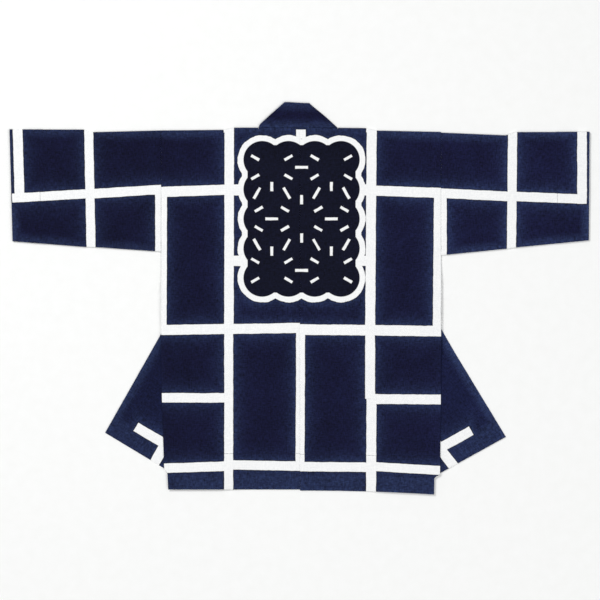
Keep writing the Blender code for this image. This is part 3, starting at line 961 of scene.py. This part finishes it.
def bar_distance(add, place, bar):
    """max(|along| - half its length, |across| - half its width), each a dot product with (x, down, 1)."""
    from_x, from_down, to_x, to_down, width = bar
    length = hypot(to_x - from_x, to_down - from_down)
    right, below = (to_x - from_x) / length, (to_down - from_down) / length
    middle_x, middle_down = (from_x + to_x) / 2, (from_down + to_down) / 2
    beyond = []
    for x, down, reach in ((right, below, length / 2), (-below, right, width / 2)):
        offset = -(x * middle_x + down * middle_down)
        dot = add("VectorMath.DOT_PRODUCT", (place, (x, down, offset)))
        beyond.append(add("Math.SUBTRACT", (add("Math.ABSOLUTE", (dot,)), reach)))
    return add("Math.MAXIMUM", beyond)


def nearest(add, distances):
    """The smallest of several distances."""
    return reduce(lambda best, other: add("Math.MINIMUM", (best, other)), distances)


# %% [markdown]
# ## The panel between the shoulders
#
# A happi carries a large dyed panel there. This one is plain and scalloped, black inside a white
# outline, with the old hemp leaf pattern in short dashes. Its edge is the nearest of a box and a
# ring of circles. The hemp leaf has many mirrors, so a place is folded by them into one small
# triangle, and there only two dashes are left to measure.

# %% The scalloped edge
PANEL_X = 3.5
PANEL_DOWN = 201.8
PANEL_HALF = (141.5, 185.3)
LOBE = 54
LOBES = (4, 5)
LOBE_DIP = 9
OUTLINE = 12.5


def panel_bar(half_across, half_down):
    """An upright bar about the panel's middle."""
    return (PANEL_X, PANEL_DOWN - half_down, PANEL_X, PANEL_DOWN + half_down, 2 * half_across)


def panel_distance(add, place):
    """Distance outside the union of a box and a ring of circles, between which the edge dips."""
    reach_x, reach_down = (half - LOBE for half in PANEL_HALF)
    grown = LOBE - LOBE_DIP
    boxes = (panel_bar(reach_x, reach_down + grown), panel_bar(reach_x + grown, reach_down))
    distances = [bar_distance(add, place, bar) for bar in boxes]
    for x in np.linspace(-reach_x, reach_x, LOBES[0]):
        for down in np.linspace(-reach_down, reach_down, LOBES[1]):
            if abs(x) < reach_x - 1 and abs(down) < reach_down - 1:
                continue
            far = add("VectorMath.DISTANCE", (place, (PANEL_X + x, PANEL_DOWN + down, 1)))
            distances.append(add("Math.SUBTRACT", (far, LOBE)))
    return nearest(add, distances)


# %% The hemp leaf in dashes
LEAF = 132
LEAF_REACH = (116, 144)
DASH_WIDE = 6
EDGE_DASH = 14
SPOKE_DASH = 10
SPOKE_AT = 0.56


def mirror(add, place, degrees):
    """Reflects what lies beyond the line through the centre at an angle: p - 2 max(p . n, 0) n."""
    across = (-sin(radians(degrees)), cos(radians(degrees)), 0)
    beyond = add("VectorMath.DOT_PRODUCT", (place, across))
    beyond = add("Math.MULTIPLY", (add("Math.MAXIMUM", (beyond, 0)), -2))
    push = add("VectorMath.SCALE", {0: across, "Scale": beyond})
    return add("VectorMath.ADD", (place, push))


def fold_back(add, place):
    """Reflects what lies beyond half a side of the triangle."""
    x, down, _ = add("SeparateXYZ", (place,)).outputs
    return add("CombineXYZ", (add("Math.PINGPONG", (x, LEAF / 2)), down, 1))


def leaf_distance(add, place):
    """Folds a place by the mirrors of the triangle lattice, then measures a dash on each drawn line."""
    centred = add("VectorMath.SUBTRACT", (place, (PANEL_X, PANEL_DOWN, 0)))
    x, down, _ = add("SeparateXYZ", (centred,)).outputs
    down = add("Math.PINGPONG", (down, LEAF * sqrt(3) / 2))
    folded = fold_back(add, add("CombineXYZ", (x, down)))
    for degrees in (60, 30):
        folded = fold_back(add, mirror(add, folded, degrees))
    spoke = LEAF / sqrt(3) * SPOKE_AT
    ends = [spoke + end * SPOKE_DASH for end in (-1, 1)]
    slanted = [end * part for end in ends for part in (cos(pi / 6), sin(pi / 6))]
    dashes = ((LEAF / 2 - EDGE_DASH, 0, LEAF / 2 + EDGE_DASH, 0, DASH_WIDE), (*slanted, DASH_WIDE))
    dash = nearest(add, [bar_distance(add, folded, bar) for bar in dashes])
    return add("Math.MAXIMUM", (dash, bar_distance(add, place, panel_bar(*LEAF_REACH))))


# %% [markdown]
# ## Indigo cotton
#
# Real cloth: a plain weave of fairly thick cotton yarn, dyed with a stencil and paste. It is matt,
# with the faintest sheen, and a little smoother where it is rubbed. The dye is deepest in the
# middle of each block and thinner, so bluer, beside the lines. It took a little deeper towards
# one cuff than the other.

# %% Noise and yarn
# The yarns are about 0.6 mm apart, too fine to show from the camera, so they are drawn 1.3 mm apart.
# Slubs, the thicker stretches of uneven yarn, are drawn as coarse as they need to show.
YARN = 1.3
WEAVE = {"Scale": 2 * pi / (20 * YARN), "Distortion": 1.2, "Detail": 1, "Detail Scale": 0.4}
STREAK = 1.6
SLUB = 3.6
SOFT = {"interpolation_type": "SMOOTHSTEP"}


def noise(add, place, size, stretch=(1, 1), detail=2):
    """Soft noise about 0.5, with blobs of a size in millimetres, stretched across or down."""
    scale = (1 / (size * stretch[0]), 1 / (size * stretch[1]), 1)
    scaled = add("VectorMath.MULTIPLY", (place, scale))
    return add("TexNoise", {"Vector": scaled, "Scale": 1, "Detail": detail})


def crossed(add, place, size, one, other):
    """Noise stretched one way plus noise stretched the other way, as warp and weft."""
    return add("Math.ADD", [noise(add, place, size, way) for way in ((one, other), (other, one))])


def mixed(add, start, parts):
    """start + part * share for each part, one after another."""
    for part, share in parts:
        start = add("Math.MULTIPLY_ADD", (part, share, start))
    return start


# %% The cloth's material
WOBBLES = ((30, 2), (8, 1.1))
HALO = 12.5
DYE_LINE_WIDE = 2.6
BATHS = ((-150, -340, 0.86), (130, 400, 1.18))


def dyed_cotton(name, bars):
    """Distance to the white, then dye, then yarn. Only the body has the panel and a paler inner side."""
    material, shader, add = new_material("dyed_cotton_" + name)
    cut = add("UVMap", uv_map="cut")
    place = add("VectorMath.MULTIPLY_ADD", (cut, (1 / MM, 1 / MM, 0), (0, 0, 1)))
    across, down, _ = add("SeparateXYZ", (place,)).outputs
    drawn = add("VectorMath.ABSOLUTE", (place,)) if "sleeve" in name else place
    waves = [(noise(add, place, size), height) for size, height in WOBBLES]
    wobble = mixed(add, -sum(height for _, height in WOBBLES) / 2, waves)

    white = nearest(add, [bar_distance(add, drawn, bar) for bar in bars]) if bars else FAR
    inner = soot = 0
    if "body" in name:
        edge = add("Math.ADD", (panel_distance(add, place), wobble))
        band = add("Math.ABSOLUTE", (add("Math.ADD", (edge, OUTLINE / 2)),))
        band = add("Math.SUBTRACT", (band, OUTLINE / 2))
        kept_out = add("Math.SUBTRACT", (-OUTLINE / 2, edge))
        outer = add("Math.MAXIMUM", (white, kept_out))
        white = nearest(add, [outer, band, leaf_distance(add, place)])
        soot = add("MapRange", (edge, -OUTLINE / 2, -OUTLINE / 2 - 2), **SOFT)
        inner = add("MapRange", (down, -300, -420, 0, 0.8), **SOFT)
    white = add("Math.ADD", (white, wobble))

    wear = add("Attribute", attribute_name="wear").outputs["Fac"]
    beside = add("Math.EXPONENT", (add("Math.MULTIPLY", (white, -1 / HALO)),))
    thin = add("Math.MAXIMUM", (beside, wear))
    patchy = add("MapRange", (noise(add, place, 9, detail=4), 0.3, 0.7, 0.55, 1), **SOFT)
    thin = add("Math.MULTIPLY", (thin, patchy))
    cloudy = add("MapRange", (noise(add, place, 26, detail=3), 0.35, 0.75, 0, 0.35), **SOFT)
    line = add("MapRange", (white, DYE_LINE_WIDE, DYE_LINE_WIDE / 2, 0, 0.75), **SOFT)
    dyes = ((cloudy, NAVY_INSIDE), (inner, NAVY_INSIDE), (thin, NAVY_THIN), (line, DYE_LINE), (soot, SOOT))
    colour = NAVY
    for share, dye in dyes:
        colour = add("Mix", {0: share, 6: colour, 7: dye}, data_type="RGBA")

    streak = crossed(add, place, STREAK, 1, 16)
    slubs = add("Math.SUBTRACT", (crossed(add, place, SLUB, 2.4, 0.8), 1))
    dull = add("Math.SUBTRACT", (noise(add, place, 70, detail=4), 0.5))
    uneven = mixed(add, 0.78, ((streak, 0.22), (dull, 0.7), (slubs, 1.7)))
    for start, end, change in BATHS:
        bath = add("MapRange", (across, start, end, 1, change), **SOFT)
        uneven = add("Math.MULTIPLY", (uneven, bath))
    colour = add("VectorMath.SCALE", {0: colour, "Scale": uneven})
    grey = add("MapRange", (add("Math.ADD", (slubs, streak)), 0.7, 1.3, 0, 0.36), **SOFT)
    pale = add("Mix", {0: grey, 6: UNDYED, 7: UNDYED_SHADE}, data_type="RGBA")
    covered = add("MapRange", (white, 0.7, -0.7), **SOFT)

    weave = {"Vector": place, **WEAVE}
    warp, weft = (add("TexWave", weave, bands_direction=way).outputs[1] for way in "XY")
    rumple = noise(add, place, 22, detail=3)
    height = mixed(add, add("Math.MULTIPLY", (warp, weft)), ((streak, 0.9), (rumple, 2.2)))
    fill(shader, {
        "Base Color": add("Mix", {0: covered, 6: colour, 7: pale}, data_type="RGBA"),
        "Normal": add("Bump", {"Strength": 0.55, "Distance": 0.3 * MM, "Height": height}),
        "Roughness": mixed(add, 0.93, ((slubs, 0.12), (wear, -0.1))),
        "Specular IOR Level": 0.12,
        "Sheen Weight": 0.07,
        "Sheen Roughness": 0.45,
        "Sheen Tint": linear("#9aa6d8"),
    })
    return material


# %% Cloth for each piece
for name in SIDES:
    bars = CENTRE_BARS + BACK_BARS[name] + front_bars(name)
    BODIES[name][0].data.materials.append(dyed_cotton("body_" + name, bars))
    SLEEVES[name][0].data.materials.append(dyed_cotton("sleeve_" + name, SLEEVE_BARS[name]))
COLLAR.data.materials.append(dyed_cotton("collar", ()))

# %% [markdown]
# ## Sewing thread
#
# Polished cotton thread, a little shinier than the cloth and dyed navy. Its twisted plies show
# from close by, as slanted bands.

# %% The thread's material
PLY = 0.5
material, shader, add = new_material("polished_cotton_thread")
where = add("TexCoord").outputs["Object"]
bands = {"Vector": where, "Scale": 2 * pi / (20 * PLY * MM)}
plies = add("TexWave", bands, bands_direction="DIAGONAL").outputs[1]
fill(shader, {
    "Base Color": add("Mix", {0: plies, 6: THREAD, 7: NAVY}, data_type="RGBA"),
    "Normal": add("Bump", {"Strength": 0.4, "Distance": 0.1 * MM, "Height": plies}),
    "Roughness": mixed(add, 0.78, ((plies, -0.16),)),
    "Specular IOR Level": 0.15,
})
for piece in STITCHES:
    piece.data.materials.append(material)

ROOT = "root"
for name in SIDES:
    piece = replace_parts(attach(BODIES[name][0], ROOT), "body_" + name)
    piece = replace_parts(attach(SLEEVES[name][0], ROOT), "sleeve_" + name)
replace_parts(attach(COLLAR, ROOT), "collar")
for piece in STITCHES:
    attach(piece, ROOT)
print("declared", len(BODIES) + len(SLEEVES) + 1, "sheets of cloth and", len(STITCHES), "sets of stitches")

# %% [markdown]
# ## The table, the light and the camera
#
# The coat lies on a plain pale table under wide soft lights. The camera looks straight down
# through a long lens, so nothing leans. Its frame is 600 pixels of 2.22 mm.

# %% The table: a plain matt laminate board
FLOOR_HALF = 30
FLOOR_UP = -0.0004
mesh = bpy.data.meshes.new("table")
corners = [(x * FLOOR_HALF, y * FLOOR_HALF, FLOOR_UP) for x, y in ((-1, -1), (1, -1), (1, 1), (-1, 1))]
mesh.from_pydata(corners, [], [(0, 1, 2, 3)])
material, shader, add = new_material("matt_laminate")
where = add("TexCoord").outputs["Object"]
grain = add("TexNoise", {"Vector": where, "Scale": 40, "Detail": 3})
fill(shader, {
    "Base Color": add("Mix", {0: grain, 6: UNDYED, 7: linear("#f6f6f4")}, data_type="RGBA"),
    "Roughness": 0.8,
    "Specular IOR Level": 0.1,
})
mesh.materials.append(material)
shown("table", mesh)
print("the table is", 2 * FLOOR_HALF, "m wide")

# %% Lights, as (name, place, size, watts)
LIGHTS = (
    ("key", (-3.4, 3, 4.4), 1.8, 222),
    ("fill", (3.4, -1.4, 4.4), 3, 78),
    ("top", (0, -2.6, 5), 3, 54),
)
WORLD_LIGHT = 0.37
for name, place, size, watts in LIGHTS:
    light = bpy.data.lights.new(name, "AREA")
    light.size = size
    light.energy = watts
    lamp = shown(name, light)
    lamp.location = place
    x, y, z = place
    lamp.rotation_euler = (np.arctan2(hypot(x, y), z), 0, np.arctan2(x, -y))
world_light = bpy.data.worlds.new("studio")
world_light.use_nodes = True
fill(world_light.node_tree.nodes["Background"], (linear("#f4f6f8"), WORLD_LIGHT))
bpy.context.scene.world = world_light
bpy.context.scene.view_settings.view_transform = "Standard"
print(len(LIGHTS), "soft lights")

# %% Camera
PIXEL = 2.22
FRAME_PIXELS = 600
SHOULDER_PIXEL = 128
CAMERA_HEIGHT = 8
camera_data = bpy.data.cameras.new("camera")
camera_data.lens = camera_data.sensor_width * CAMERA_HEIGHT / (FRAME_PIXELS * PIXEL * MM)
camera_data.clip_end = 50
camera = shown("camera", camera_data)
camera.location = (0, (SHOULDER_UP - (FRAME_PIXELS / 2 - SHOULDER_PIXEL) * PIXEL) * MM, CAMERA_HEIGHT)
bpy.context.scene.camera = camera
print("lens", round(camera_data.lens, 1), "mm")
